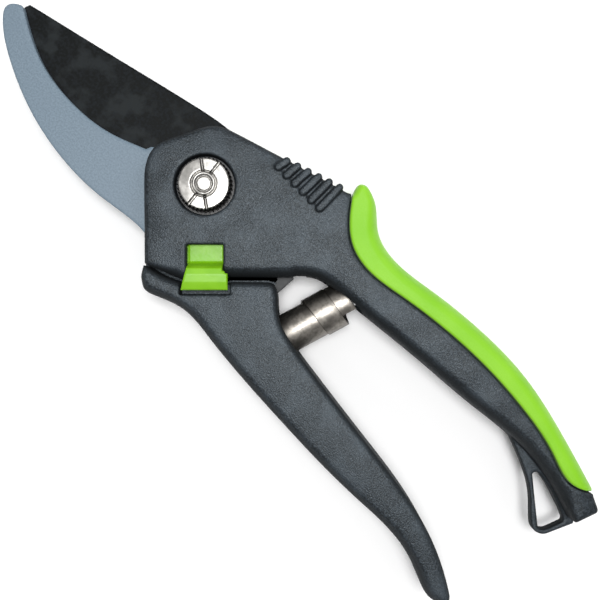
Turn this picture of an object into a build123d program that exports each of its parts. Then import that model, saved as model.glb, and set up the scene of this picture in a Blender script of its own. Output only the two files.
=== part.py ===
from build123d import *
import os
from math import cos, radians, sin

os.makedirs("parts", exist_ok=True)

# Bypass pruner lying on its rear face, closed and latched.
# Origin: on the pivot axis, at the rear face of the pivot nut. +X runs along the handles,
# +Y towards the upper (gripped) handle, +Z along the pivot towards the bolt head.

# ---- driving dimensions ----
handle_front = 20.0  # front face of the handles and of the head
lower_front = 19.8  # front face of the lower handle, under the catch's pad
shear_plane = 11.0  # plane in which the two blades pass each other
plate_gap = 0.05  # each plate's distance from the shear plane
plate = 2.95  # thickness of hook and cutting blade

shoulder_r = 28.0  # the lower handle's shoulder turns outside this radius
rear_clear_r = 37.0  # rear half of the upper handle starts here
rear_head_back = 2.0  # rear face of the lower handle's head
rear_head_r = 16.5
rear_head_corners = [((31.5, -4.5), 3.6), ((7.5, -25), 3.5)]  # centre and rounding

bolt_r = 3.5
bush_r = 5.0
bush_running = 0.05
bolt_head_r = 7.5
bolt_head_front = 22.0
washer_t = 0.8
front_bore_r = 8.3
front_bore_floor = 16.5
rear_bore_r = 8.2
rear_bore_floor = 4.5
nut_flats = 11.0
nut_t = 3.6

catch_turn = 45  # the catch slides along a line turned this far from +Y
catch_travel = 4.7
catch_floor = 15.0
catch_skin = 16.8  # underside of the skin that holds the catch down
catch_half = 4.95
catch_flange_half = 5.9
catch_gap = 0.1
window_top = -16.3
channel_top = -10.2
cut_reach = 30.0  # length of cuts that run out of the part

loop_back = 8.3
loop_front = 11.7

spring_dir = Vector(0.28, 0.96, 0).normalized()
spring_z = 10.0
upper_seat = Vector(50.2, 5.0, spring_z)
lower_seat = Vector(45.0, -13.3, spring_z)
seat_r = 6.7
seat_depth = 3.0
post_r = 2.3
post_reach = 3.0
post_root = 2.0  # depth of the post's hole below the seat

rivet_r = 1.2
rivet_back = 1.0
rivet_grip = 1.0  # how far a rivet reaches into the plastic beyond its plate
hook_rivets = [(60, 13.0), (74, 13.9)]
blade_rivets = [(56, -24.1), (76, -25.9)]

rib_count = 6
rib_first = Vector(11.2, 18.7)
rib_last = Vector(26.2, 23.6)
rib_size = (6.0, 1.9)
rib_lean = 78
rib_front = 20.6

# ---- outlines ----
# where the soft grip meets the upper handle
grip_seam = [(30, 27.2), (35, 20.8), (40, 16.9), (47, 15), (60, 16.4), (75, 18.4), (90, 19), (105, 18),
             (120, 14.9), (129, 12.9), (134.5, 15.2)]
grip_back = [(32, 31.6), (36.5, 30.2), (43, 25.2), (52, 22.9), (65, 24.3), (85, 26.2), (100, 25.7),
             (115, 22.7), (135.6, 17)]
upper_belly = [(140, 6.3), (130, 8.9), (120, 10.8), (112, 11.3), (100, 10.1), (80, 8.4), (60, 6.4),
               (46, 5.0), (40, 3.9), (35, 0)]


def polar(radius, angle):
    """Point at a radius and an angle in degrees about the pivot"""
    return (radius * cos(radians(angle)), radius * sin(radians(angle)))


def upper_outline():
    """Head and upper handle as one outline, up to the seam with the grip"""
    with BuildSketch() as outline:
        with BuildLine():
            Line((3.4, -27.0), (-13, -10.8))
            Spline((-13, -10.8), (-17.3, -3), (-14, 6), (-9, 14), (-5.5, 15.7), tangents=[(-1, 1), (1, 0.33)])
            Line((-5.5, 15.7), (9, 20.2))
            Line((9, 20.2), (29.5, 26.3))
            Line((29.5, 26.3), grip_seam[0])
            Spline(*grip_seam)
            Line(grip_seam[-1], (141, 13.9))
            Line((141, 13.9), (142, 12.9))
            Line((142, 12.9), upper_belly[0])
            Spline(*upper_belly, tangents=[(-1, 0.28), (-1, -1)])
            Line(upper_belly[-1], (24.5, -9.2))
            Line((24.5, -9.2), (20.5, -12.7))
            Line((20.5, -12.7), (14, -22.7))
            Line((14, -22.7), (3.4, -27.0))
        make_face()
    return outline.sketch


def grip_outline():
    with BuildSketch() as outline:
        with BuildLine():
            Spline(*grip_seam)
            Line(grip_seam[-1], grip_back[-1])
            Spline(*grip_back[::-1])
            Spline(grip_back[0], (29.6, 30.4), grip_seam[0], tangents=[(-1, 0.05), (0.3, -1)])
        make_face()
    return outline.sketch


def lower_outline():
    with BuildSketch() as outline:
        shoulder_start = polar(shoulder_r, -83)
        shoulder_end = polar(shoulder_r, -30)
        with BuildLine():
            CenterArc((0, 0), shoulder_r, -83, 53)
            Line(shoulder_end, (30.5, -7.6))
            Spline((30.5, -7.6), (32.6, -6.2), (35, -7.2), tangents=[(1, 0.95), (1, -0.8)])
            Spline((35, -7.2), (40, -11.4), (47, -13.9), (60, -16), (80, -18.6), (100, -21.4), (113, -24.9),
                   (127, -32), tangents=[(1, -0.8), (1, -0.65)])
            Spline((127, -32), (128.5, -34.2), (124, -37), tangents=[(1, -0.65), (-1, 0.1)])
            Spline((124, -37), (117, -34.6), (108, -32), (90, -31.9), (60, -31.5), (30, -29.2), (19, -28.8),
                   (10, -32.1), tangents=[(-1, 0.1), (-1, -0.4)])
            Spline((10, -32.1), (7.2, -32.2), (5.2, -30.4), tangents=[(-1, -0.4), (-0.7, 0.8)])
            Line((5.2, -30.4), shoulder_start)
        make_face()
    return outline.sketch


catch_across = Vector(cos(radians(catch_turn)), sin(radians(catch_turn)), 0)
catch_along = Vector(-sin(radians(catch_turn)), cos(radians(catch_turn)), 0)


def catch_plane(height):
    """Plane seen from the front: X across the catch, Y along its travel"""
    return Plane(origin=(0, 0, height), x_dir=catch_across, z_dir=(0, 0, 1))


catch_section = Plane(origin=(0, 0, 0), x_dir=catch_along, z_dir=catch_across)
spring_section = Plane(origin=upper_seat, x_dir=(spring_dir.Y, -spring_dir.X, 0), z_dir=(0, 0, 1))
upper_seat_plane = Plane(origin=upper_seat, x_dir=(0, 0, 1), z_dir=spring_dir)
lower_seat_plane = Plane(origin=lower_seat, x_dir=(0, 0, 1), z_dir=-spring_dir)

# ---- hook: counter blade in front, its tang inside the upper handle ----
with BuildPart() as hook_blade:
    with BuildSketch(Plane.XY.offset(shear_plane + plate_gap)):
        with BuildLine():
            Spline((-73, -0.6), (-76.2, -3.8), (-75, -6.4), tangents=[(-1, -0.2), (0.7, -0.8)])
            Spline((-75, -6.4), (-65, -13.7), (-50, -20), (-35, -23), (-20, -23), (-8, -21.4), (-1.4, -22.2),
                   tangents=[(0.7, -0.8), (1, -0.5)])
            Line((-1.4, -22.2), (4, -20))
            Line((4, -20), (30, -1.5))
            Line((30, -1.5), (37, 6))
            Line((37, 6), (44, 10.6))
            Line((44, 10.6), (80, 11.6))
            Line((80, 11.6), (80, 16.8))
            Line((80, 16.8), (46, 13.4))
            Line((46, 13.4), (30, 14.5))
            Line((30, 14.5), (2, 14.5))
            Spline((2, 14.5), (-11, 9), (-16, -0.5), tangents=[(-1, 0), (-0.2, -1)])
            Line((-16, -0.5), (-19.4, -3))
            Line((-19.4, -3), (-20, -4.5))
            Spline((-20, -4.5), (-30, -8.3), (-45, -10), (-58, -8), (-73, -0.6),
                   tangents=[(-1, -0.4), (-1, 0.6)])
        make_face()
        Circle(bush_r, mode=Mode.SUBTRACT)
        with Locations(*hook_rivets):
            Circle(rivet_r, mode=Mode.SUBTRACT)
    extrude(amount=plate)
hook_blade.part.label = "hook_blade"
export_step(hook_blade.part, "parts/hook_blade.step")

# ---- cutting blade behind the hook, its tang inside the lower handle ----
with BuildPart() as cutting_blade:
    with BuildSketch(Plane.XY.offset(shear_plane - plate_gap)):
        with BuildLine():
            Spline((-73.4, 1.2), (-60, 4.4), (-40, 9.2), (-20, 14), (-6, 16.3), (4, 15.4), (14, 11),
                   tangents=[(1, 0.25), (1, -0.6)])
            Line((14, 11), (35.2, -0.9))
            Line((35.2, -0.9), (34.8, -7))
            Line((34.8, -7), (36, -15.8))
            Line((36, -15.8), (44, -20.4))
            Line((44, -20.4), (82, -24.2))
            Line((82, -24.2), (82, -28.6))
            Line((82, -28.6), (40, -25.4))
            Line((40, -25.4), (12, -20))
            Line((12, -20), (-10, -11))
            Spline((-10, -11), (-21, -8.2), (-32, -11.2), (-46, -12.4), (-60, -9), (-74, -0.6),
                   tangents=[(-1, 0.4), (-1, 0.7)])
            Line((-74, -0.6), (-73.4, 1.2))
        make_face()
        Circle(bush_r + bush_running, mode=Mode.SUBTRACT)
        with Locations(*blade_rivets):
            Circle(rivet_r, mode=Mode.SUBTRACT)
    extrude(amount=-plate)
cutting_blade.part.label = "cutting_blade"
export_step(cutting_blade.part, "parts/cutting_blade.step")

# ---- soft grip along the back of the upper handle ----
grip_tongue_back = 6.0
grip_tongue_front = 14.0
grip_tongue_height = 3.0
grip_tongue_root = 2.0  # how far the tongue starts below the seam
grip_inset = 0.4  # the grip's faces lie this far inside the handle's
with BuildPart() as grip_tongue:
    with BuildSketch(Plane.XY.offset(grip_tongue_back)):
        with BuildLine():
            tongue_seam = Spline(*[(x, y - grip_tongue_root) for x, y in grip_seam[2:-1]])
            tongue_top = Spline(*[(x, y + grip_tongue_height) for x, y in grip_seam[2:-1]])
            Line(tongue_seam @ 0, tongue_top @ 0)
            Line(tongue_seam @ 1, tongue_top @ 1)
        make_face()
    extrude(amount=grip_tongue_front - grip_tongue_back)

# ---- upper handle with its head, thumb ribs and hang loop ----
with BuildPart() as upper_handle:
    with BuildSketch():
        add(upper_outline())
    extrude(amount=handle_front)
    # the rear half stops short of the lower handle's head
    with BuildSketch():
        Circle(rear_clear_r)
    extrude(amount=shear_plane + plate_gap, mode=Mode.SUBTRACT)
    # thumb ribs standing proud of the head's upper edge
    with BuildSketch(Plane.XY.offset(shear_plane + plate)):
        for i in range(rib_count):
            place = rib_first + (rib_last - rib_first) * (i / (rib_count - 1))
            with Locations((place.X, place.Y)):
                SlotOverall(rib_size[0], rib_size[1], rotation=rib_lean)
    extrude(amount=rib_front - shear_plane - plate)
    # hang loop
    with BuildSketch(Plane.XY.offset(loop_back)):
        with BuildLine():
            Spline((106, 12.5), (116, 8.8), (126.3, 3.1), (132.3, -2.5), tangents=[(1, -0.35), (1, -0.75)])
            Spline((132.3, -2.5), (134.6, -3.2), (137.4, -1), tangents=[(1, -0.75), (0.35, 1)])
            Line((137.4, -1), (141, 9))
            Line((141, 9), (106, 12.5))
        make_face()
        with BuildSketch(mode=Mode.SUBTRACT) as loop_hole:
            with BuildLine():
                Polyline((121.6, 7.7), (123.1, 10.3), (138.6, 5.2), (134.8, -2.2), close=True)
            make_face()
            fillet(loop_hole.vertices(), radius=1.0)
    extrude(amount=loop_front - loop_back)
    add(grip_tongue.part)
    add(hook_blade.part, mode=Mode.SUBTRACT)
    # pivot: counterbore for the bolt head, through hole for the bolt
    with BuildSketch(Plane.XY.offset(front_bore_floor)):
        Circle(front_bore_r)
    extrude(amount=handle_front, mode=Mode.SUBTRACT)
    with BuildSketch():
        Circle(bolt_r)
    extrude(amount=handle_front, mode=Mode.SUBTRACT)
    with BuildSketch():
        Circle(bush_r)
    extrude(amount=shear_plane + plate_gap + plate, mode=Mode.SUBTRACT)
    # window and channel of the catch, both open at the head's lower edge
    with BuildSketch(catch_plane(catch_skin)):
        with Locations((0, window_top - cut_reach / 2)):
            Rectangle(2 * (catch_half + catch_gap), cut_reach)
    extrude(amount=handle_front, mode=Mode.SUBTRACT)
    with BuildSketch(catch_plane(catch_floor)):
        with Locations((0, channel_top - cut_reach / 2)):
            Rectangle(2 * (catch_flange_half + catch_gap), cut_reach)
    extrude(amount=catch_skin - catch_floor, mode=Mode.SUBTRACT)
    # seat of the volute spring with the hole of its post
    with BuildSketch(upper_seat_plane.offset(-cut_reach)):
        Circle(seat_r)
    extrude(amount=cut_reach + seat_depth, mode=Mode.SUBTRACT)
    with BuildSketch(upper_seat_plane):
        Circle(post_r)
    extrude(amount=seat_depth + post_root, mode=Mode.SUBTRACT)
    # rivets of the hook's tang
    with BuildSketch():
        with Locations(*hook_rivets):
            Circle(rivet_r)
    extrude(amount=shear_plane + plate + rivet_grip, mode=Mode.SUBTRACT)
upper_handle.part.label = "upper_handle"
export_step(upper_handle.part, "parts/upper_handle.step")

with BuildPart() as upper_grip:
    with BuildSketch(Plane.XY.offset(grip_inset)):
        add(grip_outline())
    extrude(amount=handle_front - 2 * grip_inset)
    add(upper_handle.part, mode=Mode.SUBTRACT)
upper_grip.part.label = "upper_grip"
export_step(upper_grip.part, "parts/upper_grip.step")

# ---- lower handle with its head behind the blade ----
with BuildPart() as lower_handle:
    with BuildSketch():
        add(lower_outline())
    extrude(amount=lower_front)
    # head: the hull of the pivot boss and the two corners of the shoulder
    with BuildSketch(Plane.XY.offset(rear_head_back)) as rear_head:
        Circle(rear_head_r)
        for corner, rounding in rear_head_corners:
            with Locations(corner):
                Circle(rounding)
        make_hull(rear_head.edges())
    extrude(amount=shear_plane - plate_gap - rear_head_back)
    add(cutting_blade.part, mode=Mode.SUBTRACT)
    with BuildSketch():
        Circle(bush_r + bush_running)
    extrude(amount=shear_plane, mode=Mode.SUBTRACT)
    with BuildSketch():
        Circle(rear_bore_r)
    extrude(amount=rear_bore_floor, mode=Mode.SUBTRACT)
    with BuildSketch(lower_seat_plane.offset(-cut_reach)):
        Circle(seat_r)
    extrude(amount=cut_reach + seat_depth, mode=Mode.SUBTRACT)
    with BuildSketch(lower_seat_plane):
        Circle(post_r)
    extrude(amount=seat_depth + post_root, mode=Mode.SUBTRACT)
    with BuildSketch():
        with Locations(*blade_rivets):
            Circle(rivet_r)
    extrude(amount=shear_plane + rivet_grip, mode=Mode.SUBTRACT)
lower_handle.part.label = "lower_handle"
export_step(lower_handle.part, "parts/lower_handle.step")

# ---- pivot: bolt, bush, two washers and nut ----
driver_notch = (6.0, 3.6)
notch_depth = 1.2
head_bevel = 0.5
washer_inset = 0.3  # the front washer's clearance in its counterbore
spring_washer_inset = 0.8
with BuildPart() as pivot_bolt:
    with BuildSketch():
        Circle(bolt_r)
    extrude(amount=front_bore_floor + washer_t)
    with BuildSketch(Plane.XY.offset(front_bore_floor + washer_t)):
        Circle(bolt_head_r)
    extrude(amount=bolt_head_front - front_bore_floor - washer_t)
    chamfer(faces().sort_by(Axis.Z)[-1].edges(), length=head_bevel)
    # two opposite driver notches, open at the rim
    with BuildSketch(Plane.XY.offset(bolt_head_front - notch_depth)):
        with PolarLocations(bolt_head_r - driver_notch[0] / 4, 2, start_angle=135):
            Rectangle(*driver_notch)
    extrude(amount=notch_depth, mode=Mode.SUBTRACT)
pivot_bolt.part.label = "pivot_bolt"
export_step(pivot_bolt.part, "parts/pivot_bolt.step")

with BuildPart() as bolt_washer:
    with BuildSketch(Plane.XY.offset(front_bore_floor)):
        Circle(front_bore_r - washer_inset)
        Circle(bolt_r, mode=Mode.SUBTRACT)
    extrude(amount=washer_t)
bolt_washer.part.label = "bolt_washer"
export_step(bolt_washer.part, "parts/bolt_washer.step")

bush_back = nut_t + washer_t
with BuildPart() as pivot_bush:
    with BuildSketch(Plane.XY.offset(bush_back)):
        Circle(bush_r)
        Circle(bolt_r, mode=Mode.SUBTRACT)
    extrude(amount=shear_plane + plate_gap + plate - bush_back)
pivot_bush.part.label = "pivot_bush"
export_step(pivot_bush.part, "parts/pivot_bush.step")

with BuildPart() as spring_washer:
    with BuildSketch(Plane.XY.offset(nut_t)):
        Circle(rear_bore_r - spring_washer_inset)
        Circle(bolt_r, mode=Mode.SUBTRACT)
    extrude(amount=washer_t)
spring_washer.part.label = "spring_washer"
export_step(spring_washer.part, "parts/spring_washer.step")

with BuildPart() as pivot_nut:
    with BuildSketch():
        RegularPolygon(radius=nut_flats / 2, side_count=6, major_radius=False)
        Circle(bolt_r, mode=Mode.SUBTRACT)
    extrude(amount=nut_t)
pivot_nut.part.label = "pivot_nut"
export_step(pivot_nut.part, "parts/pivot_nut.step")

# ---- catch: slides in the head and reaches over the lower handle's shoulder ----
catch_top = window_top + 0.6  # its upper edge, under the skin
catch_back = catch_floor + catch_gap
catch_sunk = catch_skin - 2 * catch_gap  # front of the part under the skin
catch_crease = -21.15  # clears the window's end when the catch is open
catch_hollow = (-21.75, 19.2)
flange_end = -22.5
catch_tongue_end = -26.4
catch_lip = -28.9
pad_back = 20.15
pad_front = 21.8
pad_shoulder = 21.5  # the pad's front at both ends of its crest
pad_crest = (-23.0, -25.0, -27.4)
pad_top = -23.6
pad_half = 6.4
pad_flare = 2.0
pad_rim = 0.9
lip_rim = 0.7
groove_half = 2.2
groove_length = 12.0
groove_middle = -21.0
groove_depth = 1.2
stop_across = 3.8
stop_along = -18.0
stop_r = 0.75
stop_reach = 1.1
stop_slot = 6.4
slot_gap = 0.15
with BuildPart() as lock_catch:
    with BuildSketch(catch_section):
        with BuildLine():
            Polyline((catch_top, catch_back), (catch_top, catch_sunk), (catch_crease, catch_sunk))
            ThreePointArc((catch_crease, catch_sunk), catch_hollow, (pad_crest[0], pad_shoulder))
            ThreePointArc((pad_crest[0], pad_shoulder), (pad_crest[1], pad_front), (pad_crest[2], pad_shoulder))
            Polyline((pad_crest[2], pad_shoulder), (catch_lip, pad_back + lip_rim), (catch_lip, pad_back),
                     (catch_tongue_end, pad_back), (catch_tongue_end, catch_back), (catch_top, catch_back))
        make_face()
    extrude(amount=catch_half, both=True)
    # side flanges under the skin
    with BuildSketch(catch_plane(catch_back)):
        with Locations((0, (catch_top + flange_end) / 2)):
            Rectangle(2 * catch_flange_half, catch_top - flange_end)
    extrude(amount=catch_sunk - catch_back)
    # thumb pad, wider than the window
    with BuildSketch(catch_plane(pad_back)):
        with BuildLine():
            Polyline((-catch_half, pad_top), (-pad_half, pad_top - pad_flare), (-pad_half, catch_lip),
                     (pad_half, catch_lip), (pad_half, pad_top - pad_flare / 2), (catch_half, pad_top),
                     close=True)
        make_face()
    extrude(amount=pad_rim)
    # groove over the detent spring and slot for the stop pin
    with BuildSketch(catch_plane(catch_floor)):
        with Locations((0, groove_middle)):
            Rectangle(2 * groove_half, groove_length)
        with Locations((stop_across, stop_along + stop_r + slot_gap - stop_slot / 2)):
            Rectangle(2 * (stop_r + slot_gap), stop_slot)
    extrude(amount=groove_depth, mode=Mode.SUBTRACT)
lock_catch.part.label = "lock_catch"
export_step(lock_catch.part, "parts/lock_catch.step")

leaf = (3.6, 11.0)  # detent spring's width and length
leaf_middle = -16.4
leaf_t = 0.4
leaf_front = catch_floor + leaf_t
leaf_crest = (-21.4, -20.6, -19.8)
leaf_rise = 0.5
with BuildPart() as lock_detent_spring:
    with BuildSketch(catch_plane(catch_floor)):
        with Locations((0, leaf_middle)):
            Rectangle(*leaf)
    extrude(amount=leaf_t)
    with BuildSketch(catch_section):
        with BuildLine():
            ThreePointArc((leaf_crest[0], leaf_front), (leaf_crest[1], leaf_front + leaf_rise),
                          (leaf_crest[2], leaf_front))
            Line((leaf_crest[2], leaf_front), (leaf_crest[0], leaf_front))
        make_face()
    extrude(amount=leaf[0] / 2, both=True)
lock_detent_spring.part.label = "lock_detent_spring"
export_step(lock_detent_spring.part, "parts/lock_detent_spring.step")

with BuildPart() as lock_stop_pin:
    with BuildSketch(catch_plane(catch_floor)):
        with Locations((stop_across, stop_along)):
            Circle(stop_r)
    extrude(amount=stop_reach)
lock_stop_pin.part.label = "lock_stop_pin"
export_step(lock_stop_pin.part, "parts/lock_stop_pin.step")

# ---- volute spring: three telescoped turns of strip, largest at the upper handle ----
strip = 0.9
turn_radii = (6.1, 5.6, 5.1)
turn_tops = (-0.6, -6.0, -11.6)
turn_length = 8.0
with BuildPart() as volute_spring:
    with BuildSketch(spring_section):
        for radius, top in zip(turn_radii, turn_tops):
            with Locations((radius - strip / 2, top - turn_length / 2)):
                Rectangle(strip, turn_length)
    revolve(axis=Axis(upper_seat, spring_dir))
volute_spring.part.label = "volute_spring"
export_step(volute_spring.part, "parts/volute_spring.step")

# ---- posts that centre the spring in the two handles ----
with BuildPart() as upper_spring_post:
    with BuildSketch(upper_seat_plane.offset(-post_reach)):
        Circle(post_r)
    extrude(amount=post_reach + seat_depth + post_root)
upper_spring_post.part.label = "upper_spring_post"
export_step(upper_spring_post.part, "parts/upper_spring_post.step")

with BuildPart() as lower_spring_post:
    with BuildSketch(lower_seat_plane.offset(-post_reach)):
        Circle(post_r)
    extrude(amount=post_reach + seat_depth + post_root)
lower_spring_post.part.label = "lower_spring_post"
export_step(lower_spring_post.part, "parts/lower_spring_post.step")

# ---- rivets through the two tangs, set from the rear ----
with BuildPart() as hook_tang_rivets:
    with BuildSketch(Plane.XY.offset(rivet_back)):
        with Locations(*hook_rivets):
            Circle(rivet_r)
    extrude(amount=shear_plane + plate + rivet_grip - rivet_back)
hook_tang_rivets.part.label = "hook_tang_rivets"
export_step(hook_tang_rivets.part, "parts/hook_tang_rivets.step")

with BuildPart() as blade_tang_rivets:
    with BuildSketch(Plane.XY.offset(rivet_back)):
        with Locations(*blade_rivets):
            Circle(rivet_r)
    extrude(amount=shear_plane + rivet_grip - rivet_back)
blade_tang_rivets.part.label = "blade_tang_rivets"
export_step(blade_tang_rivets.part, "parts/blade_tang_rivets.step")
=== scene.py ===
from itertools import product

import bpy
import numpy as np
from math import cos, pi, radians, sin
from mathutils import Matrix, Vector


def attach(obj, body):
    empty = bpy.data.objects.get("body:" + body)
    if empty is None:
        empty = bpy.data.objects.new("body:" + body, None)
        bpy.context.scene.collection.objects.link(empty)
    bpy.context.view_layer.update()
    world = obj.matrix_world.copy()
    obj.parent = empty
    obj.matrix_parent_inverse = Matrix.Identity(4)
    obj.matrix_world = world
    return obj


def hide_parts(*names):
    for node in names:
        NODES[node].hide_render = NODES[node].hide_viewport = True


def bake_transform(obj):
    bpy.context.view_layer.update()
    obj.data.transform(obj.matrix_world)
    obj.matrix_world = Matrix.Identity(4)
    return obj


# Looks of the bypass pruner. All places below are in the row frame, in millimetres, and each
# finished mesh is scaled to metres. The outlines follow those of the CAD parts, but stay a little
# inside them at the far end of the upper handle and on the lower handle's half of the head.

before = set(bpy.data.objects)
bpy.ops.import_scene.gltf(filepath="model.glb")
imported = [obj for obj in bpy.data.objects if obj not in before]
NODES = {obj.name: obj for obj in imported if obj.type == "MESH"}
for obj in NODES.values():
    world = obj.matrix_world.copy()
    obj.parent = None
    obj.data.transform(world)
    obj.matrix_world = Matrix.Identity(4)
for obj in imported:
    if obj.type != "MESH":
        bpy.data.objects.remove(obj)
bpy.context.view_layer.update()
MM = 0.001
UPPER, LOWER, CATCH = "upper_body", "lower_body", "catch_body"

# ---- heights and sizes shared with the CAD ----
FRONT = 20.0
LOWER_FRONT = 19.8
HEAD_BACK = 11.05
SHEAR = 11.0
PLATE = 2.95
GAP = 0.05
REAR_HEAD_BACK = 2.0
REAR_CLEAR_R = 37.0
SHOULDER_R = 28.0
BOLT_R = 3.5
BUSH_R = 5.0
FRONT_BORE_R, FRONT_BORE_FLOOR = 8.3, 16.5
REAR_BORE_R, REAR_BORE_FLOOR = 8.2, 4.5
LOOP_BACK, LOOP_FRONT = 8.3, 11.7
SPRING_DIR = np.array((0.28, 0.96, 0.0))
SPRING_SIDE = np.array((0.96, -0.28, 0.0))
UPPER_SEAT = np.array((50.2, 5.0, 10.0))
LOWER_SEAT = np.array((45.0, -13.3, 10.0))
SEAT_R, SEAT_DEPTH = 6.7, 3.0
HOOK_RIVETS = [(60, 13.0), (74, 13.9)]
BLADE_RIVETS = [(56, -24.1), (76, -25.9)]
RIVET_R, RIVET_BACK = 1.2, 1.0
DIAGONAL = cos(radians(45))
CATCH_HALF, CATCH_FLOOR, CATCH_SKIN = 5.05, 15.0, 16.8
WINDOW_TOP, CHANNEL_TOP, PAD_BACK = -16.3, -10.2, 20.15

# ---- sizes that only the looks need ----
SEAM_GAP = 0.14
# rim of a moulded face: how far in from the outline it starts, and how deep it falls there
FRONT_RIM, FRONT_RIM_BELLY = (1.4, 1.6), (2.9, 4.6)
LOWER_RIM, LOWER_RIM_BELLY = (1.5, 1.6), (2.8, 4.6)
BACK_RIM = (2.4, 3.5)
GRIP_FRONT_RIM, GRIP_BACK_RIM = (4.2, 7.5), (3.2, 5.5)
CROWN_REACH = 7.0
SHELL_WALL, SHELL_FACE = 2.2, 3.0
RIB_COUNT, RIB_R, RIB_FRONT, RIB_FLOOR = 6, 1.05, 20.6, 19.3
RIB_PANEL = [(10.9, 17.4), (26.8, 17.4), (27.3, 29), (10.9, 24)]
RIB_FOOT, RIB_PITCH = (10.9, 17.5), 3.18
RIB_CREST, RIB_CREST_STEP = (11.4, 20.4), (3.05, 1.01)
CATCH_RECESS, RECESS_DEPTH, RECESS_HALF = -30.1, 4.0, 6.9
CATCH_END, CATCH_BODY_FOOT = -15.7, -26.4
FLANGE_HALF, FLANGE_FOOT, FLANGE_MIDDLE, FLANGE_THICK = 5.9, -22.5, 15.85, 1.5
# where the blade's coating turns grey along its tang, from and to x in millimetres
TANG_GREY = (20, 24)
GRIND, GRIND_DEPTH = 7.0, 2.5
BOLT_HEAD_R, BOLT_FACE_R, BOLT_FACE_TOP, HUB_R, HUB_TOP = 7.4, 6.95, 21.98, 3.4, 21.75
NOTCH_FLOOR = 20.9
RIVET_ROOM = 1.8
NUT_HALF, NUT_CORNER_R, NUT_TOP = 5.5, 6.6, 3.6
KNURLS = 40
WAVE = 0.11
NOTCH_TURN, NOTCH_HALF = 120, 24
CONE = 0.085
STRIP, SPRING_STEPS = 0.8, 160
# outer strip, then the inner one: radii, first angle, turns, upper and lower edge at both ends
SPRING_STRIPS = [((6.0, 6.4), 60, 1.5, (1.5, -4.0), (-5.0, -12.0)),
                 ((5.9, 5.5), 240, 1.3, (-3.0, -20.4), (-6.0, -20.6))]
FLOOR_Z = -0.0001

# ---- camera and lights, in metres ----
CAMERA = (0.04071, -0.00388, 0.2145)
CAMERA_REACH, FIELD_WIDTH = 0.2, 0.168
WORLD = 0.3
LAMP_AIM = (0.0407, -0.0039, 0.01)
# name, place to the picture's right and up, height, size, watts
LAMPS = [("key", 0.40, 0.40, 0.40, 0.30, 1.0), ("overhead", 0.01, 0.03, 0.70, 0.24, 4.0),
         ("ceiling", 0.0, 0.0, 1.2, 1.6, 2.0)]


# ---------------------------------------------------------------- lines and fields
def curve(points, start=None, end=None, step=0.5):
    """Smooth line through the points, with the end directions where they are given"""
    p = np.array(points, float)
    chord = np.hypot(*np.diff(p, axis=0).T)
    n = len(p)
    rows, right = np.zeros((n, n)), np.zeros((n, 2))
    for i in range(1, n - 1):
        before, after = chord[i - 1], chord[i]
        rows[i, i - 1:i + 2] = after, 2 * (before + after), before
        right[i] = 3 * (after * (p[i] - p[i - 1]) / before + before * (p[i + 1] - p[i]) / after)
    rows[0, :2], right[0] = (2, 1), 3 * (p[1] - p[0]) / chord[0]
    rows[-1, -2:], right[-1] = (1, 2), 3 * (p[-1] - p[-2]) / chord[-1]
    if start is not None:
        rows[0, :2], right[0] = (1, 0), np.array(start) / np.hypot(*start)
    if end is not None:
        rows[-1, -2:], right[-1] = (0, 1), np.array(end) / np.hypot(*end)
    slope = np.linalg.solve(rows, right)
    line = []
    for i in range(n - 1):
        t = np.linspace(0, 1, max(3, int(chord[i] / step)), endpoint=False)[:, None]
        a, b, da, db = p[i], p[i + 1], slope[i] * chord[i], slope[i + 1] * chord[i]
        line.append(a * (2 * t**3 - 3 * t**2 + 1) + da * (t**3 - 2 * t**2 + t)
                    + b * (3 * t**2 - 2 * t**3) + db * (t**3 - t**2))
    return np.vstack(line + [p[-1:]])


def arc(radius, first, last, centre=(0, 0), count=40):
    turn = np.radians(np.linspace(first, last, count))
    return np.stack([centre[0] + radius * np.cos(turn), centre[1] + radius * np.sin(turn)], 1)


def outline(*runs):
    """Closed outline of runs of points joined end to end"""
    return np.vstack([np.array(r, float).reshape(-1, 2) for r in runs])


def distance(shape, x, y, closed=True):
    """Distance to an outline, negative inside it when it is closed, on any arrays of places"""
    x, y = np.broadcast_arrays(x, y)
    nearest = np.full(x.shape, 1e9)
    inside = np.zeros(x.shape, bool)
    for (ax, ay), (bx, by) in zip(shape, np.roll(shape, -1, 0) if closed else shape[1:]):
        dx, dy = bx - ax, by - ay
        length = dx * dx + dy * dy
        if length < 1e-12:
            continue
        t = np.clip(((x - ax) * dx + (y - ay) * dy) / length, 0, 1)
        nearest = np.minimum(nearest, (x - ax - t * dx) ** 2 + (y - ay - t * dy) ** 2)
        if dy:
            inside ^= ((ay > y) != (by > y)) & (x < ax + (y - ay) * dx / dy)
    return np.where(inside & closed, -1, 1) * np.sqrt(nearest)


def meet(a, b, r=0.0):
    """Intersection of two fields, its edge rounded by about r"""
    if r <= 0:
        return np.maximum(a, b)
    h = np.maximum(r - np.abs(a - b), 0)
    return np.maximum(a, b) + h * h / (4 * r)


def join(a, b, r=0.0):
    return -meet(-a, -b, r)


def rim(plan, height, width, depth):
    """Falls by depth over width towards the outline, as a quarter ellipse below the face"""
    a = np.maximum(plan / width + 1, 0)
    b = np.maximum(height / depth + 1, 0)
    size = (a * width + b * depth) / np.maximum(a + b, 1e-6)
    return np.where(a + b > 0, (np.hypot(a, b) - 1) * size, np.maximum(plan, height))


def crown(plan, reach, fall):
    """How far a face drops from its middle towards the outline"""
    return fall * np.maximum(1 + plan / reach, 0) ** 2


def slab(plan, z, back, front, width=0.4, depth=0.4, back_width=None, back_depth=None):
    """Space between two faces inside an outline, with both rims rounded"""
    back_width = width if back_width is None else back_width
    back_depth = depth if back_depth is None else back_depth
    return np.maximum(rim(plan, z - front, width, depth), rim(plan, back - z, back_width, back_depth))


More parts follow.
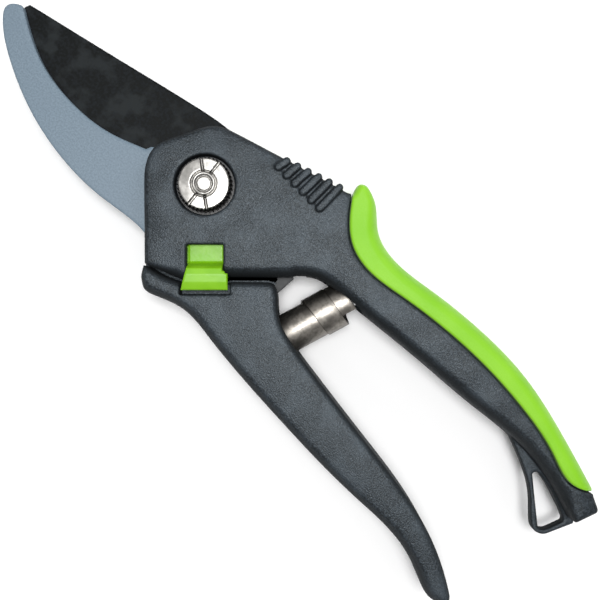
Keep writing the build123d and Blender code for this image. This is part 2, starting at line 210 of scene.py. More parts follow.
def ramp(value, low, high):
    """0 below low, 1 above high, smooth between"""
    t = np.clip((value - low) / (high - low), 0, 1)
    return t * t * (3 - 2 * t)


class Grid:
    """Sample places in a box, one step apart"""

    def __init__(self, low, high, step):
        self.low, self.step = np.array(low, float), step
        axes = [np.arange(a, b + step, step) for a, b in zip(low, high)]
        self.x, self.y, self.z = np.ix_(*axes)

    def plan(self, shape):
        return distance(shape, self.x, self.y)


def link(name, mesh, body):
    thing = bpy.data.objects.new(name, mesh)
    bpy.context.scene.collection.objects.link(thing)
    if body:
        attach(thing, body)
    return thing


def skin(name, field, grid, body, material, place=None):
    """Closed mesh of the space where the sampled field is negative, one corner to each mixed cell"""
    field = field.astype(np.float32)
    inside = field < 0
    size = np.array(field.shape) - 1
    offsets = list(product((0, 1), repeat=3))

    def corner(values, o):
        return values[o[0]:size[0] + o[0], o[1]:size[1] + o[1], o[2]:size[2] + o[2]]

    count = sum(corner(inside, o).astype(np.int8) for o in offsets)
    mixed = (count > 0) & (count < 8)
    cells = np.argwhere(mixed)
    number = np.full(mixed.shape, -1)
    number[mixed] = np.arange(len(cells))
    values = {o: corner(field, o)[mixed] for o in offsets}
    total, hits = np.zeros((len(cells), 3)), np.zeros(len(cells))
    for o in offsets:
        for axis in range(3):
            if o[axis]:
                continue
            far = tuple(1 if k == axis else o[k] for k in range(3))
            a, b = values[o], values[far]
            crossed = (a < 0) != (b < 0)
            point = np.tile(np.array(o, float), (crossed.sum(), 1))
            point[:, axis] += a[crossed] / (a[crossed] - b[crossed])
            total[crossed] += point
            hits[crossed] += 1
    points = grid.low + grid.step * (cells + total / hits[:, None])
    quads = []
    for axis in range(3):
        u, v = (axis + 1) % 3, (axis + 2) % 3
        near = np.take(inside, range(size[axis]), axis)
        far = np.take(inside, range(1, size[axis] + 1), axis)
        at = np.argwhere(near != far)
        at = at[(at[:, u] > 0) & (at[:, v] > 0) & (at[:, u] < size[u]) & (at[:, v] < size[v])]
        ring = []
        for du, dv in ((1, 1), (0, 1), (0, 0), (1, 0)):
            cell = at.copy()
            cell[:, u] -= du
            cell[:, v] -= dv
            ring.append(number[tuple(cell.T)])
        ring = np.stack(ring, 1)
        out = near[tuple(at.T)]
        quads.append(np.where(out[:, None], ring, ring[:, ::-1]))
    quads = np.vstack(quads)
    if place is not None:
        points = place(points)
    mesh = bpy.data.meshes.new(name)
    mesh.from_pydata((points * MM).tolist(), [], quads.tolist())
    mesh.validate()
    mesh.shade_smooth()
    mesh.materials.append(material)
    return link(name, mesh, body)


# ---------------------------------------------------------------- materials
class Shader:
    """Small helper around one material's node tree"""

    def __init__(self, name, **sockets):
        self.material = bpy.data.materials.new(name)
        self.material.use_nodes = True
        self.nodes = self.material.node_tree.nodes
        self.links = self.material.node_tree.links
        self.main = self.nodes["Principled BSDF"]
        for socket, value in sockets.items():
            self.main.inputs[socket.replace("_", " ")].default_value = value
        coordinates = self.nodes.new("ShaderNodeTexCoord")
        self.where, self.normal = coordinates.outputs["Object"], coordinates.outputs["Normal"]

    def node(self, kind, inputs=(), **settings):
        made = self.nodes.new("ShaderNode" + kind)
        for key, value in settings.items():
            setattr(made, key, value)
        for key, value in dict(inputs).items():
            if hasattr(value, "is_output"):
                self.links.new(value, made.inputs[key])
            else:
                made.inputs[key].default_value = value
        return made

    def noise(self, size, detail=2.0, stretch=None):
        """Noise whose blobs are about size millimetres"""
        place = self.where
        if stretch:
            place = self.node("Mapping", {"Vector": place, "Scale": stretch}).outputs[0]
        inputs = {"Vector": place, "Scale": 1 / (size * MM), "Detail": detail}
        return self.node("TexNoise", inputs).outputs["Fac"]

    def spread(self, value, low, high, new_low=0.0, new_high=1.0):
        inputs = {0: value, 1: low, 2: high, 3: new_low, 4: new_high}
        return self.node("MapRange", inputs).outputs[0]

    def mix(self, share, first, second):
        mixer = self.node("Mix", data_type="RGBA")
        for index, value in ((0, share), (6, first), (7, second)):
            if hasattr(value, "is_output"):
                self.links.new(value, mixer.inputs[index])
            else:
                mixer.inputs[index].default_value = value if index == 0 else (*value, 1)
        return mixer.outputs[2]

    def facing(self, low, high):
        """1 on the faces that lie across Z, 0 on the sides"""
        across = self.node("SeparateXYZ", {0: self.normal}).outputs[2]
        return self.spread(self.node("Math", {0: across}, operation="ABSOLUTE").outputs[0], low, high)

    def add(self, first, second, share=1.0):
        scaled = self.node("Math", {0: second, 1: share}, operation="MULTIPLY").outputs[0]
        return self.node("Math", {0: first, 1: scaled}, operation="ADD").outputs[0]

    def finish(self, colour, roughness, height=None, depth=0.0):
        """Colour, roughness and, in millimetres, the relief of the surface"""
        self.links.new(colour, self.main.inputs["Base Color"])
        self.links.new(roughness, self.main.inputs["Roughness"])
        if height is not None:
            bump = self.node("Bump", {"Height": height, "Distance": depth * MM, "Strength": 1.0})
            self.links.new(bump.outputs[0], self.main.inputs["Normal"])
        return self.material


def handle_nylon():
    """Charcoal glass-filled nylon with a fine spark-eroded grain, painted sheen in lighter patches and
    painted shade on its sides
    """
    s = Shader("handle_nylon", Specular_IOR_Level=0.5, Specular_Tint=(0.84, 0.94, 1.0, 1.0))
    grain, fine, broad = s.noise(0.42, 1.5), s.noise(0.2, 1.0), s.noise(9.0, 2.0)
    fleck = s.spread(grain, 0.42, 0.64)
    colour = s.mix(fleck, (0.001, 0.002, 0.003), (0.024, 0.031, 0.039))
    # Painted sheen: lighter random patches standing in for patches of glossy highlight.
    colour = s.mix(s.spread(broad, 0.45, 0.66, 0.0, 0.35), colour, (0.055, 0.070, 0.085))
    # Painted shade: sides that turn away from the faces get a near-black colour, and a rougher finish.
    face = s.facing(0.55, 0.95)
    colour = s.mix(face, (0.004, 0.005, 0.006), colour)
    rough = s.node("Mix", {0: face, 2: 0.8, 3: s.spread(fine, 0.35, 0.65, 0.36, 0.52)}).outputs[0]
    height = s.add(grain, fine, 0.5)
    return s.finish(colour, rough, height, 0.12)


def soft_grip():
    s = Shader("soft_grip", Specular_IOR_Level=0.35, Sheen_Weight=0.15, Sheen_Roughness=0.5)
    grain, broad = s.noise(0.25, 2.0), s.noise(14.0, 1.0)
    colour = s.mix(s.spread(broad, 0.35, 0.65), (0.205, 0.52, 0.008), (0.245, 0.57, 0.018))
    colour = s.mix(s.spread(grain, 0.45, 0.8, 0.0, 0.3), colour, (0.175, 0.455, 0.006))
    return s.finish(colour, s.spread(grain, 0.3, 0.7, 0.48, 0.62), grain, 0.012)


def catch_plastic():
    s = Shader("catch_plastic", Specular_IOR_Level=0.4)
    grain, broad = s.noise(0.6, 2.0), s.noise(5.0, 1.0)
    colour = s.mix(s.spread(broad, 0.35, 0.65), (0.18, 0.45, 0.005), (0.215, 0.50, 0.012))
    return s.finish(colour, s.spread(grain, 0.3, 0.7, 0.34, 0.44), grain, 0.006)


def hook_paint():
    """Blue-grey satin coating with a fine fleck"""
    s = Shader("hook_paint", Specular_IOR_Level=0.4)
    grain, fine, broad = s.noise(0.5, 2.0), s.noise(0.22, 1.0), s.noise(12.0, 2.0)
    colour = s.mix(s.spread(grain, 0.35, 0.65), (0.135, 0.185, 0.232), (0.182, 0.242, 0.295))
    colour = s.mix(s.spread(fine, 0.66, 0.76, 0.0, 0.35), colour, (0.31, 0.37, 0.42))
    colour = s.mix(s.spread(broad, 0.4, 0.7, 0.0, 0.2), colour, (0.148, 0.197, 0.25))
    return s.finish(colour, s.spread(fine, 0.3, 0.7, 0.42, 0.54), s.add(grain, fine, 0.4), 0.012)


def blade_coating():
    """Black non-stick coating, mottled, and grey along its tang"""
    s = Shader("blade_coating", Specular_IOR_Level=0.15)
    grain, fine, broad = s.noise(0.8, 3.0), s.noise(0.25, 1.5), s.noise(6.0, 5.0)
    colour = s.mix(s.spread(grain, 0.42, 0.66), (0.002, 0.003, 0.003), (0.009, 0.011, 0.013))
    colour = s.mix(s.spread(broad, 0.48, 0.62, 0.0, 0.6), colour, (0.020, 0.024, 0.026))
    # The coating turns grey along the tang, past the given x.
    rear = s.node("SeparateXYZ", {0: s.where}).outputs[0]
    colour = s.mix(s.spread(rear, TANG_GREY[0] * MM, TANG_GREY[1] * MM), colour, (0.085, 0.088, 0.090))
    return s.finish(colour, s.spread(grain, 0.3, 0.7, 0.55, 0.72), s.add(grain, fine, 0.5), 0.02)


def nickel(name, colour, rough, painted_side_shade):
    """Plated steel with fine handling marks, mottled, with painted shade darkening its sides"""
    s = Shader(name, Metallic=1.0)
    scratch, pits, broad = s.noise(0.35, 3.0, (1.0, 6.0, 1.0)), s.noise(1.0, 3.0), s.noise(3.5, 2.0)
    dull = tuple(0.62 * c for c in colour)
    shade = s.mix(s.spread(pits, 0.45, 0.7), colour, dull)
    shade = s.mix(s.spread(broad, 0.46, 0.6, 0.0, 0.75), shade, tuple(0.5 * c for c in colour))
    # Painted shade: the sides, turned away from Z, are darkened by the given share.
    side = tuple((1 - painted_side_shade) * c for c in colour)
    shade = s.mix(s.facing(0.15, 0.7), side, shade)
    return s.finish(shade, s.spread(scratch, 0.35, 0.7, *rough), s.add(pits, scratch, 0.3), 0.006)


def plain_steel(name, level):
    """Turned steel, or blackened steel at a low level"""
    s = Shader(name, Metallic=1.0)
    turned, pits = s.noise(0.3, 2.0, (4.0, 4.0, 1.0)), s.noise(1.0, 2.0)
    shade = s.mix(s.spread(pits, 0.4, 0.7), (level, level, level), (0.7 * level, 0.7 * level, 0.7 * level))
    return s.finish(shade, s.spread(turned, 0.3, 0.7, 0.25, 0.42), turned, 0.006)


NYLON, GRIP, CATCH_GREEN = handle_nylon(), soft_grip(), catch_plastic()
HOOK_PAINT, BLADE_BLACK = hook_paint(), blade_coating()
# The last number is the share of painted shade on the sides.
BOLT_NICKEL = nickel("bolt_nickel", (0.42, 0.41, 0.39), (0.30, 0.46), 0.85)
SPRING_NICKEL = nickel("spring_nickel", (0.37, 0.345, 0.31), (0.32, 0.48), 0.6)
STEEL, BLACK_STEEL = plain_steel("plain_steel", 0.52), plain_steel("blackened_steel", 0.03)

# ---------------------------------------------------------------- outlines
SEAM = curve([(30, 27.2), (35, 20.8), (40, 16.9), (47, 15), (60, 16.4), (75, 18.4), (90, 19), (105, 18),
              (120, 14.9), (129, 12.9), (134.5, 15.2)])
GRIP_BACK = curve([(32, 31.6), (36.5, 30.2), (43, 25.2), (52, 22.9), (65, 24.3), (85, 26.2), (100, 25.7),
                   (115, 22.7), (135.2, 16.9)])
GRIP_TIP = curve([(30, 27.2), (29.6, 30.4), (32, 31.6)], (-0.3, 1), (1, -0.05))
BELLY = curve([(137.8, 6.4), (130, 8.9), (120, 10.8), (112, 11.3), (100, 10.1), (80, 8.4), (60, 6.4),
               (46, 5.0), (40, 3.9), (35, 0)], (-1, 0.28), (-1, -1))
HEAD = [(34.5, -1.1), (21.6, -13.9), (14, -22.9), (4.6, -26.6), (3.4, -27.0), (2.6, -26.2)]
NOSE = curve([(-13, -10.8), (-17.3, -3), (-14, 6), (-9, 14), (-5.5, 15.7)], (-1, 1), (1, 0.33))
END_BLOCK = [(136.0, 16.0), (135.8, 15.2), (139.4, 13.5), (140.0, 12.6)]
WHOLE_OUTLINE = outline(NOSE, [(9, 20.2), (29.5, 26.3)], GRIP_TIP, GRIP_BACK, END_BLOCK, BELLY, HEAD)
GRIP_OUTLINE = outline(GRIP_TIP, GRIP_BACK, [(135.8, 16.0), (135.2, 15.4)], SEAM[::-1])

LOOP_OUTLINE = outline(curve([(106, 12.5), (116, 8.8), (126.3, 3.1), (132.3, -2.5)], (1, -0.35), (1, -0.75)),
                       curve([(132.3, -2.5), (134.6, -3.1), (137.4, -1)], (1, -0.75), (0.35, 1)),
                       [(140.6, 6.2), (138, 9), (130, 12)])
LOOP_HOLE = [(122.3, 8.0), (122.6, 8.9), (123.5, 9.4), (129.3, 8.4), (134, 6.7), (137.6, 5.1), (138.0, 4.3),
             (136.2, -0.5), (135.2, -1.5), (134.1, -1.6), (127.3, 3.9)]

LOWER_SHOULDER = arc(SHOULDER_R - 0.4, -83, -30)
LOWER_CORNER = curve([(31.0, -7.0), (32.8, -6.2), (35, -7.2)], (1, 1), (1, -0.8))
LOWER_TOP = curve([(35, -7.2), (40, -11.4), (47, -13.9), (60, -16), (80, -18.6), (100, -21.4), (113, -24.9),
                   (127, -32)], (1, -0.8), (1, -0.65))
LOWER_TIP = curve([(127, -32), (128.5, -34.2), (124, -37)], (1, -0.65), (-1, 0.1))
LOWER_BELLY = curve([(124, -37), (117, -34.6), (108, -32), (90, -31.9), (60, -31.5), (30, -29.2), (19, -28.8),
                     (10, -32.1)], (-1, 0.1), (-1, -0.4))
LOWER_HORN = curve([(10, -32.1), (7.2, -32.2), (5.2, -30.4)], (-1, -0.4), (-0.7, 0.8))
LOWER_OUTLINE = outline(LOWER_SHOULDER, LOWER_CORNER, LOWER_TOP, LOWER_TIP, LOWER_BELLY, LOWER_HORN)
# middle line along the lower handle, and the circles that its half of the head wraps
LOWER_MIDDLE = ((5, 30, 60, 100, 128), (-31, -22, -24, -26.8, -34.5))
REAR_HEAD_CIRCLES = [((0, 0), 16.5), ((30.2, -5.3), 3.0), ((7.5, -25), 3.5), ((3.9, -27.2), 1.5)]

HOOK_TIP = curve([(-73, -0.6), (-76.2, -3.8), (-75, -6.4)], (-1, -0.2), (0.7, -0.8))
HOOK_BELLY = curve([(-75, -6.4), (-65, -13.7), (-50, -20), (-35, -23), (-20, -23), (-8, -21.4),
                    (-1.4, -22.2)], (0.7, -0.8), (1, -0.5))
HOOK_TANG = [(4, -20), (30, -1.5), (37, 6), (44, 10.6), (80, 11.6), (80, 16.8), (46, 13.4), (30, 14.5)]
HOOK_EDGE = curve([(-20, -4.5), (-30, -8.3), (-45, -10), (-58, -8), (-73, -0.6)], (-1, -0.4), (-1, 0.6))
HOOK_HEEL = curve([(2, 14.5), (-11, 9), (-16, -0.5)], (-1, 0), (-0.2, -1))
HOOK_OUTLINE = outline(HOOK_TIP, HOOK_BELLY, HOOK_TANG, HOOK_HEEL, [(-19.4, -3)], HOOK_EDGE)

BLADE_SPINE = curve([(-73.4, 1.2), (-60, 4.4), (-40, 9.2), (-20, 14), (-6, 16.3), (4, 15.4), (14, 11)],
                    (1, 0.25), (1, -0.6))
BLADE_TANG = [(35.2, -0.9), (34.8, -7), (36, -15.8), (44, -20.4), (82, -24.2), (82, -28.6), (40, -25.4),
              (12, -20)]
CUTTING_EDGE = curve([(-10, -11), (-21, -8.2), (-32, -11.2), (-46, -12.4), (-60, -9), (-74, -0.6)],
                     (-1, 0.4), (-1, 0.7))
BLADE_OUTLINE = outline(BLADE_SPINE, BLADE_TANG, CUTTING_EDGE)

# seen across and along the catch's travel
PAD_OUTLINE = [(-4.9, -22.5), (-4.9, -23.0), (-6.5, -28.9), (6.4, -28.9), (6.4, -24.4), (5.7, -24.2),
               (5.5, -23.7), (4.9, -23.5), (4.9, -22.5)]


# ---------------------------------------------------------------- pieces
def bore(field, grid, radius, low, high, lead=0.5):
    """Round hole about the pivot between two heights, its mouth eased"""
    hole = np.maximum(np.hypot(grid.x, grid.y) - radius, np.maximum(low - grid.z, grid.z - high))
    return meet(field, -hole, lead)


def holes(field, grid, places, radius, low, high):
    for x, y in places:
        hole = np.maximum(np.hypot(grid.x - x, grid.y - y) - radius, np.maximum(low - grid.z, grid.z - high))
        field = np.maximum(field, -hole)
    return field


def rim_between(edge, belly, share):
    """Width and depth of a rim that turns from the first kind into the second"""
    return [a + (b - a) * share for a, b in zip(edge, belly)]


def spring_seat(field, grid, seat, way):
    """Cylindrical pocket around the spring's end, opening along -way"""
    dx, dy, dz = grid.x - seat[0], grid.y - seat[1], grid.z - seat[2]
    along = dx * way[0] + dy * way[1]
    off = np.hypot(dx * SPRING_SIDE[0] + dy * SPRING_SIDE[1], dz)
    return meet(field, -np.maximum(off - SEAT_R, along - SEAT_DEPTH), 0.8)


def catch_axes(grid):
    """Across and along the catch's travel"""
    return (grid.x + grid.y) * DIAGONAL, (grid.y - grid.x) * DIAGONAL


def moulded(grid, plan, front, width, depth, fall):
    """Handle section between its two faces, both a little crowned"""
    drop = crown(plan, CROWN_REACH, fall)
    return np.maximum(rim(plan, grid.z + drop - front, width, depth), rim(plan, drop - grid.z, *BACK_RIM))


def waves(x, y):
    """Slight sink and swell of a moulded face"""
    return WAVE * (1 + np.sin(0.33 * x + 0.21 * y + 0.8) * np.cos(0.24 * x - 0.37 * y + 0.4))


def catch_window(field, grid):
    across, along = catch_axes(grid)
    window = np.maximum(np.abs(across) - CATCH_HALF, np.maximum(along - WINDOW_TOP, CATCH_SKIN - grid.z))
    channel = np.maximum(np.abs(across) - CATCH_HALF - 1, along - CHANNEL_TOP)
    channel = np.maximum(channel, np.maximum(CATCH_FLOOR - grid.z, grid.z - CATCH_SKIN))
    return np.maximum(meet(field, -window, 0.5), -channel)


def thumb_ribs(field, grid):
    """Rounded bars in a shallow panel on the head's face, rolling over its upper edge"""
    panel = np.maximum(grid.plan(RIB_PANEL), RIB_FLOOR - grid.z)
    field = meet(field, -panel, 0.4)
    for i in range(RIB_COUNT):
        ax, ay = RIB_FOOT[0] + RIB_PITCH * i, RIB_FOOT[1]
        bx, by = RIB_CREST[0] + RIB_CREST_STEP[0] * i, RIB_CREST[1] + RIB_CREST_STEP[1] * i
        dx, dy = bx - ax, by - ay
        t = np.clip(((grid.x - ax) * dx + (grid.y - ay) * dy) / (dx * dx + dy * dy), 0, 1)
        plan = np.hypot(grid.x - ax - t * dx, grid.y - ay - t * dy) - RIB_R
        field = join(field, slab(plan, grid.z, HEAD_BACK + PLATE, RIB_FRONT, 0.5, 0.45), 0.15)
    return field


def build_upper_handle():
    grid = Grid((-18.5, -28, -0.6), (143, 29, 21.4), 0.42)
    x, y, z = grid.x, grid.y, grid.z
    whole, grip = grid.plan(WHOLE_OUTLINE), grid.plan(GRIP_OUTLINE)
    belly_side = ramp(x - y, 14, 34) * ramp(x, 4, 12)
    fall = 0.45 + 0.35 * ramp(x, 20, 45)
    block = 1 - 0.6 * ramp(x, 130, 135)
    width, depth = rim_between(FRONT_RIM, FRONT_RIM_BELLY, belly_side)
    field = moulded(grid, whole, FRONT - waves(x, y), width * block, depth * block, fall)
    core = np.maximum(whole + SHELL_WALL, np.abs(z - FRONT / 2) - FRONT / 2 + SHELL_FACE)
    field = np.minimum(meet(field, SEAM_GAP - grip, 0.7), core)
    field = meet(field, -np.maximum(np.hypot(x, y) - REAR_CLEAR_R, z - HEAD_BACK), 0.4)
    field = thumb_ribs(field, grid)
    field = bore(field, grid, FRONT_BORE_R, FRONT_BORE_FLOOR, 30)
    field = bore(field, grid, BUSH_R, 0, FRONT_BORE_FLOOR + 1, 0)
    field = catch_window(field, grid)
    field = spring_seat(field, grid, UPPER_SEAT, SPRING_DIR)
    field = holes(field, grid, HOOK_RIVETS, RIVET_R + 0.1, -1, RIVET_BACK)
    loop = np.maximum(grid.plan(LOOP_OUTLINE), -grid.plan(LOOP_HOLE))
    field = join(field, slab(loop, z, LOOP_BACK, LOOP_FRONT, 0.4, 0.5), 0.4)
    shell = skin("handle_shell", field, grid, UPPER, NYLON)
    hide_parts("upper_handle")


def build_grip():
    grid = Grid((28.5, 11, -0.4), (137.5, 33, 20.8), 0.36)
    whole, grip = grid.plan(WHOLE_OUTLINE), grid.plan(GRIP_OUTLINE)
    tip = 0.5 + 0.5 * ramp(grid.x, 31, 42)
    front = rim(whole, grid.z - FRONT - 0.1, GRIP_FRONT_RIM[0] * tip, GRIP_FRONT_RIM[1] * tip)
    back = rim(whole, -grid.z, GRIP_BACK_RIM[0] * tip, GRIP_BACK_RIM[1] * tip)
    field = meet(np.maximum(front, back), grip + SEAM_GAP, 0.7)
    grip_piece = skin("soft_grip", field, grid, UPPER, GRIP)
    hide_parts("upper_grip")


def build_lower_handle():
    grid = Grid((-17.2, -38, -0.6), (129.5, 17.2, 20.6), 0.4)
    x, y, z = grid.x, grid.y, grid.z
    plan = grid.plan(LOWER_OUTLINE)
    under = ramp(np.interp(x, *LOWER_MIDDLE) - y, -1.5, 1.5)
    width, depth = rim_between(LOWER_RIM, LOWER_RIM_BELLY, under)
    field = moulded(grid, plan, LOWER_FRONT, width, depth, 0.5)
    across, along = catch_axes(grid)
    recess = np.maximum(np.abs(across) - RECESS_HALF, CATCH_RECESS - along)
    recess = np.maximum(recess, LOWER_FRONT - RECESS_DEPTH - z)
    field = meet(field, -recess, 0.3)
    rear = slab(grid.plan(hull(REAR_HEAD_CIRCLES)), z, REAR_HEAD_BACK, SHEAR - GAP, 0.3, 0.3, 1.5, 1.5)
    field = join(field, rear, 0.3)
    field = bore(field, grid, REAR_BORE_R, -1, REAR_BORE_FLOOR)
    field = bore(field, grid, BUSH_R, 0, SHEAR + 1, 0)
    field = spring_seat(field, grid, LOWER_SEAT, -SPRING_DIR)
    field = holes(field, grid, BLADE_RIVETS, RIVET_R + 0.1, -1, RIVET_BACK)
    shell = skin("lower_shell", field, grid, LOWER, NYLON)
    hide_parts("lower_handle")


def hull(circles):
    """Outline wrapped around circles"""
    points = np.vstack([arc(radius, 0, 360, centre, 60)[:-1] for centre, radius in circles])
    order = sorted(map(tuple, points))
    chains = []
    for run in (order, order[::-1]):
        chain = []
        for p in run:
            while len(chain) > 1:
                last, ahead = np.subtract(chain[-1], chain[-2]), np.subtract(p, chain[-1])
                if np.cross(last, ahead) > 0:
                    break
                chain.pop()
            chain.append(p)
        chains += chain[:-1]
    return np.array(chains)


def build_hook():
    grid = Grid((-77.2, -24.2, 10.6), (81, 17.8, 14.5), 0.33)
    plan = grid.plan(HOOK_OUTLINE)
    inner = distance(HOOK_EDGE, grid.x, grid.y, closed=False)
    width = 0.45 + 0.7 * (1 - ramp(inner, 1, 3))
    field = slab(plan, grid.z, HEAD_BACK, HEAD_BACK + PLATE, width, 0.5, 0.3, 0.3)
    field = bore(field, grid, BUSH_R, 0, 30, 0)
    hook = skin("hook_plate", field, grid, UPPER, HOOK_PAINT)
    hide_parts("hook_blade")


def build_blade():
    grid = Grid((-75, -29.4, 7.6), (83, 17.2, 11.4), 0.34)
    plan = grid.plan(BLADE_OUTLINE)
    edge = distance(CUTTING_EDGE, grid.x, grid.y, closed=False)
    back = SHEAR - GAP - PLATE + GRIND_DEPTH * np.clip(1 - edge / GRIND, 0, 1)
    field = slab(plan, grid.z, SHEAR - GAP - PLATE, SHEAR - GAP, 0.25, 0.2)
    field = np.maximum(field, back - grid.z)
    field = bore(field, grid, BUSH_R, 0, 30, 0)
    blade = skin("cutting_plate", field, grid, LOWER, BLADE_BLACK)
    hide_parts("cutting_blade")


def catch_profile(along):
    """Height of the catch's front along its travel"""
    v = np.linspace(-30, -15, 301)
    wall = [(-20.9, 16.6), (-21.4, 17.2), (-21.9, 18.8), (-22.3, 20.4), (-22.9, 21.45)]
    crest = [(-22.9, 21.45), (-24.6, 21.8), (-26.7, 21.6)]
    knots = np.array(wall[::-1] + [(-20.6, 16.6), (-15, 16.6)])
    knots = np.vstack([crest[::-1][:-1], knots])
    knots = np.vstack([[(-30, 20.2), (-28.9, 20.75), (-27.4, 21.35)], knots])
    height = np.interp(v, knots[:, 0], knots[:, 1])
    kernel = np.hanning(13) / np.hanning(13).sum()
    height = np.convolve(np.pad(height, 6, mode="edge"), kernel, mode="valid")
    return np.interp(along, v, height)


def catch_to_row(points):
    """Places across and along the catch's travel, turned into the row frame"""
    u, v, z = points.T
    return np.stack([(u - v) * DIAGONAL, (u + v) * DIAGONAL, z], 1)


def build_catch():
    grid = Grid((-7.4, -29.6, 14.8), (7.4, -15.2, 22.2), 0.13)
    u, v, z = grid.x, grid.y, grid.z
    top = catch_profile(v)
    body = np.maximum(np.abs(u) - CATCH_HALF + 0.15, v - CATCH_END)
    body = np.maximum(body, np.maximum(CATCH_FLOOR + 0.1 - z, CATCH_BODY_FOOT - v))
    flange = np.maximum(np.abs(u) - FLANGE_HALF, v - CATCH_END)
    flange = np.maximum(flange, np.maximum(FLANGE_FOOT - v, np.abs(z - FLANGE_MIDDLE) - FLANGE_THICK / 2))
    pad = grid.plan(PAD_OUTLINE)
    pad = np.maximum(pad, PAD_BACK - z)
    field = np.minimum(join(body, pad, 0.1), flange)
    field = meet(field, (z - top) * 0.75, 0.55)
    catch = skin("lock_slider", field, grid, CATCH, CATCH_GREEN, catch_to_row)
    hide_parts("lock_catch")


def ring(r, radius, height, width):
    """Rounded ridge round the pivot"""
    return height * np.exp(-((r - radius) / width) ** 2)


def build_bolt():
    grid = Grid((-7.9, -7.9, -0.3), (7.9, 7.9, 22.4), 0.12)
    x, y, z = grid.x, grid.y, grid.z
    r, turn = np.hypot(x, y), np.degrees(np.arctan2(y, x)) % 180
    knurl = 0.2 * np.cos(np.arctan2(y, x) * KNURLS) * ramp(21.5 - z, 0, 0.4)
    # two coned sectors, a lower block in each notch between them, and a ringed hub
    notch = np.radians(np.abs(turn - NOTCH_TURN) - NOTCH_HALF) * r
    block = notch + 0.55
    face = BOLT_FACE_TOP - CONE * (r - HUB_R)
    floor = NOTCH_FLOOR + (0.75 - 0.5 * CONE * (r - HUB_R)) * ramp(-block, -0.15, 0.2)
    top = face + (floor - face) * ramp(-notch, -0.15, 0.2)
    hub = HUB_TOP + ring(r, 2.75, 0.22, 0.4) - ring(r, 2.1, 0.25, 0.22)
    top = hub + (top - hub) * ramp(r, 3.2, 3.5) - ring(r, HUB_R, 0.4, 0.24)
    flank = np.maximum(r - BOLT_HEAD_R, (r - BOLT_FACE_R - 0.25 * (21.4 - z)) * 0.97) - knurl
    head = meet(np.maximum(flank, FRONT_BORE_FLOOR + 0.8 - z), (z - top) * 0.9, 0.25)
    shaft = meet(r - BOLT_R, -z, 0.6)
    field = np.minimum(head, np.maximum(shaft, z - 18))
    bolt = skin("bolt_head", field, grid, UPPER, BOLT_NICKEL)
    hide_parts("pivot_bolt")


def build_nut():
    grid = Grid((-6.8, -6.2, -0.3), (6.8, 6.2, 4.0), 0.15)
    x, y, z = grid.x, grid.y, grid.z
    sides = [np.abs(x * sin(turn) + y * cos(turn)) - NUT_HALF for turn in (0, pi / 3, 2 * pi / 3)]
    field = np.maximum(np.maximum(np.maximum(*sides[:2]), sides[2]), np.maximum(-z, z - NUT_TOP))
    field = meet(field, np.hypot(x, y) - NUT_CORNER_R + np.maximum(0.7 - z, 0), 0.2)
    field = np.maximum(field, BOLT_R - 0.1 - np.hypot(x, y))
    nut = skin("nut", field, grid, UPPER, BOLT_NICKEL)
    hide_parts("pivot_nut")


def wound_strip(radius, start, turns, first, last):
    """Rings of a strip wound round the spring's line: radius at both ends, edges at both ends"""
    section = []
    half_t, corner = STRIP / 2, 0.2
    for cx, cy, begin in ((1, 1, 0), (-1, 1, 90), (-1, -1, 180), (1, -1, 270)):
        for a in (0, 30, 60, 90):
            turn = radians(begin + a)
            section.append((cx * (half_t - corner) + corner * cos(turn), cy, corner * sin(turn)))
    rings = []
    for i in range(SPRING_STEPS + 1):
        t = i / SPRING_STEPS
        angle = radians(start) + 2 * pi * turns * t
        centre = radius[0] + (radius[1] - radius[0]) * t - half_t
        high, low = (first[k] + (last[k] - first[k]) * t for k in (0, 1))
        across = cos(angle) * SPRING_SIDE + sin(angle) * np.array((0, 0, 1))
        ring_points = []
        for out, end, rise in section:
            level = (high if end > 0 else low) + rise - end * corner
            ring_points.append(UPPER_SEAT + across * (centre + out) + SPRING_DIR * level)
        rings.append(ring_points)
    n, rows = len(section), SPRING_STEPS
    quads = [(i * n + k, i * n + (k + 1) % n, (i + 1) * n + (k + 1) % n, (i + 1) * n + k)
             for i in range(rows) for k in range(n)]
    ends = [tuple(range(n))[::-1], tuple(rows * n + k for k in range(n))]
    return np.array(rings).reshape(-1, 3), quads + ends


def build_spring():
    """Two strips, the inner one reaching out of the outer one to the lower handle"""
    places, faces = [], []
    for strip in SPRING_STRIPS:
        points, quads = wound_strip(*strip)
        offset = sum(map(len, places))
        places.append(points)
        faces += [tuple(k + offset for k in q) for q in quads]
    mesh = bpy.data.meshes.new("wound_strip")
    mesh.from_pydata((np.vstack(places) * MM).tolist(), [], faces)
    mesh.validate()
    mesh.shade_smooth()
    mesh.materials.append(SPRING_NICKEL)
    spring = link("wound_strip", mesh, None)
    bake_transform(spring)
    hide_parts("volute_spring")


def build_rivets(name, places, body, front, node):
    low, high = np.min(places, 0) - RIVET_ROOM, np.max(places, 0) + RIVET_ROOM
    grid = Grid((*low, 0.2), (*high, front + 0.4), 0.2)
    field = np.full(np.broadcast(grid.x, grid.y, grid.z).shape, 1e3)
    for px, py in places:
        r = np.hypot(grid.x - px, grid.y - py)
        stem, dome = np.maximum(r - RIVET_R, grid.z - front), RIVET_BACK - 0.5 + 0.25 * r**2 - grid.z
        field = np.minimum(field, meet(stem, dome, 0.2))
    piece = skin(name, field, grid, body, STEEL)
    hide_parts(node)


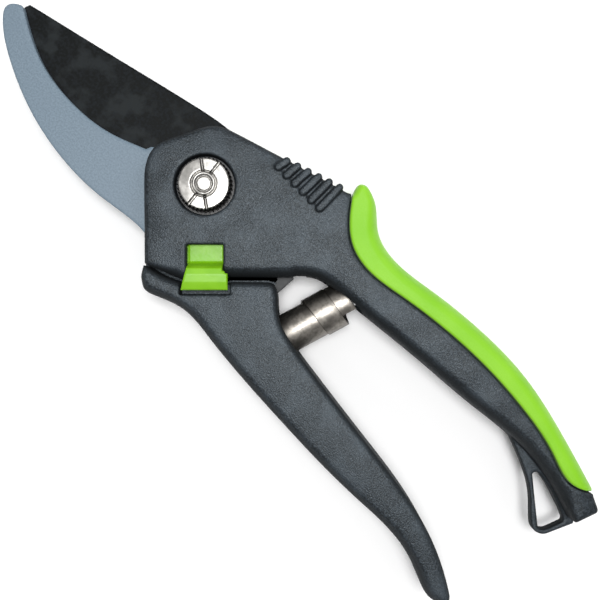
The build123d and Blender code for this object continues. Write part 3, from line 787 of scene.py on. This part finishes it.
build_upper_handle()
build_grip()
build_lower_handle()
build_hook()
build_blade()
build_catch()
build_bolt()
build_nut()
build_spring()
build_rivets("hook_rivets", HOOK_RIVETS, UPPER, SHEAR + PLATE + 1, "hook_tang_rivets")
build_rivets("blade_rivets", BLADE_RIVETS, LOWER, SHEAR + 1, "blade_tang_rivets")
for node in ("bolt_washer", "pivot_bush", "spring_washer", "lock_stop_pin", "upper_spring_post",
             "lower_spring_post", "lock_detent_spring"):
    NODES[node].data.materials.clear()
    NODES[node].data.materials.append(BLACK_STEEL if node == "bolt_washer" else STEEL)


# ---------------------------------------------------------------- studio and camera
def studio_floor():
    corners = [(-3, -3, FLOOR_Z), (3, -3, FLOOR_Z), (3, 3, FLOOR_Z), (-3, 3, FLOOR_Z)]
    mesh = bpy.data.meshes.new("floor")
    mesh.from_pydata(corners, [], [(0, 1, 2, 3)])
    s = Shader("floor_white", Specular_IOR_Level=0.0)
    cloud = s.noise(300.0, 1.0)
    white = s.mix(cloud, (0.93, 0.93, 0.93), (0.94, 0.94, 0.94))
    mesh.materials.append(s.finish(white, s.spread(cloud, 0, 1, 0.8, 0.9)))
    floor = bpy.data.objects.new("floor", mesh)
    bpy.context.scene.collection.objects.link(floor)


def lamp(name, place, size, watts):
    """Square soft light pointing at the middle of the tool"""
    data = bpy.data.lights.new(name, "AREA")
    data.shape, data.size, data.energy = "SQUARE", size, watts
    light = bpy.data.objects.new(name, data)
    light.location = place
    light.rotation_euler = (Vector(LAMP_AIM) - Vector(place)).to_track_quat("-Z", "Y").to_euler()
    bpy.context.scene.collection.objects.link(light)


def studio():
    """Soft light from the picture's upper right, two more overhead and an even surround"""
    studio_floor()
    world = bpy.data.worlds.new("studio")
    world.use_nodes = True
    world.node_tree.nodes["Background"].inputs["Color"].default_value = (1, 1, 1, 1)
    world.node_tree.nodes["Background"].inputs["Strength"].default_value = WORLD
    bpy.context.scene.world = world
    right, up = np.array((DIAGONAL, DIAGONAL)), np.array((-DIAGONAL, DIAGONAL))
    for name, across, above, height, size, watts in LAMPS:
        flat = np.array(CAMERA[:2]) + right * across + up * above
        lamp(name, (*flat, height), size, watts)


def camera():
    data = bpy.data.cameras.new("camera")
    data.sensor_width, data.lens, data.clip_start = 36, 36 * CAMERA_REACH / FIELD_WIDTH, 0.01
    eye = bpy.data.objects.new("camera", data)
    eye.location = CAMERA
    eye.rotation_euler = (0, 0, radians(45))
    bpy.context.scene.collection.objects.link(eye)
    bpy.context.scene.camera = eye


studio()
camera()
bpy.context.scene.view_settings.view_transform = "Standard"
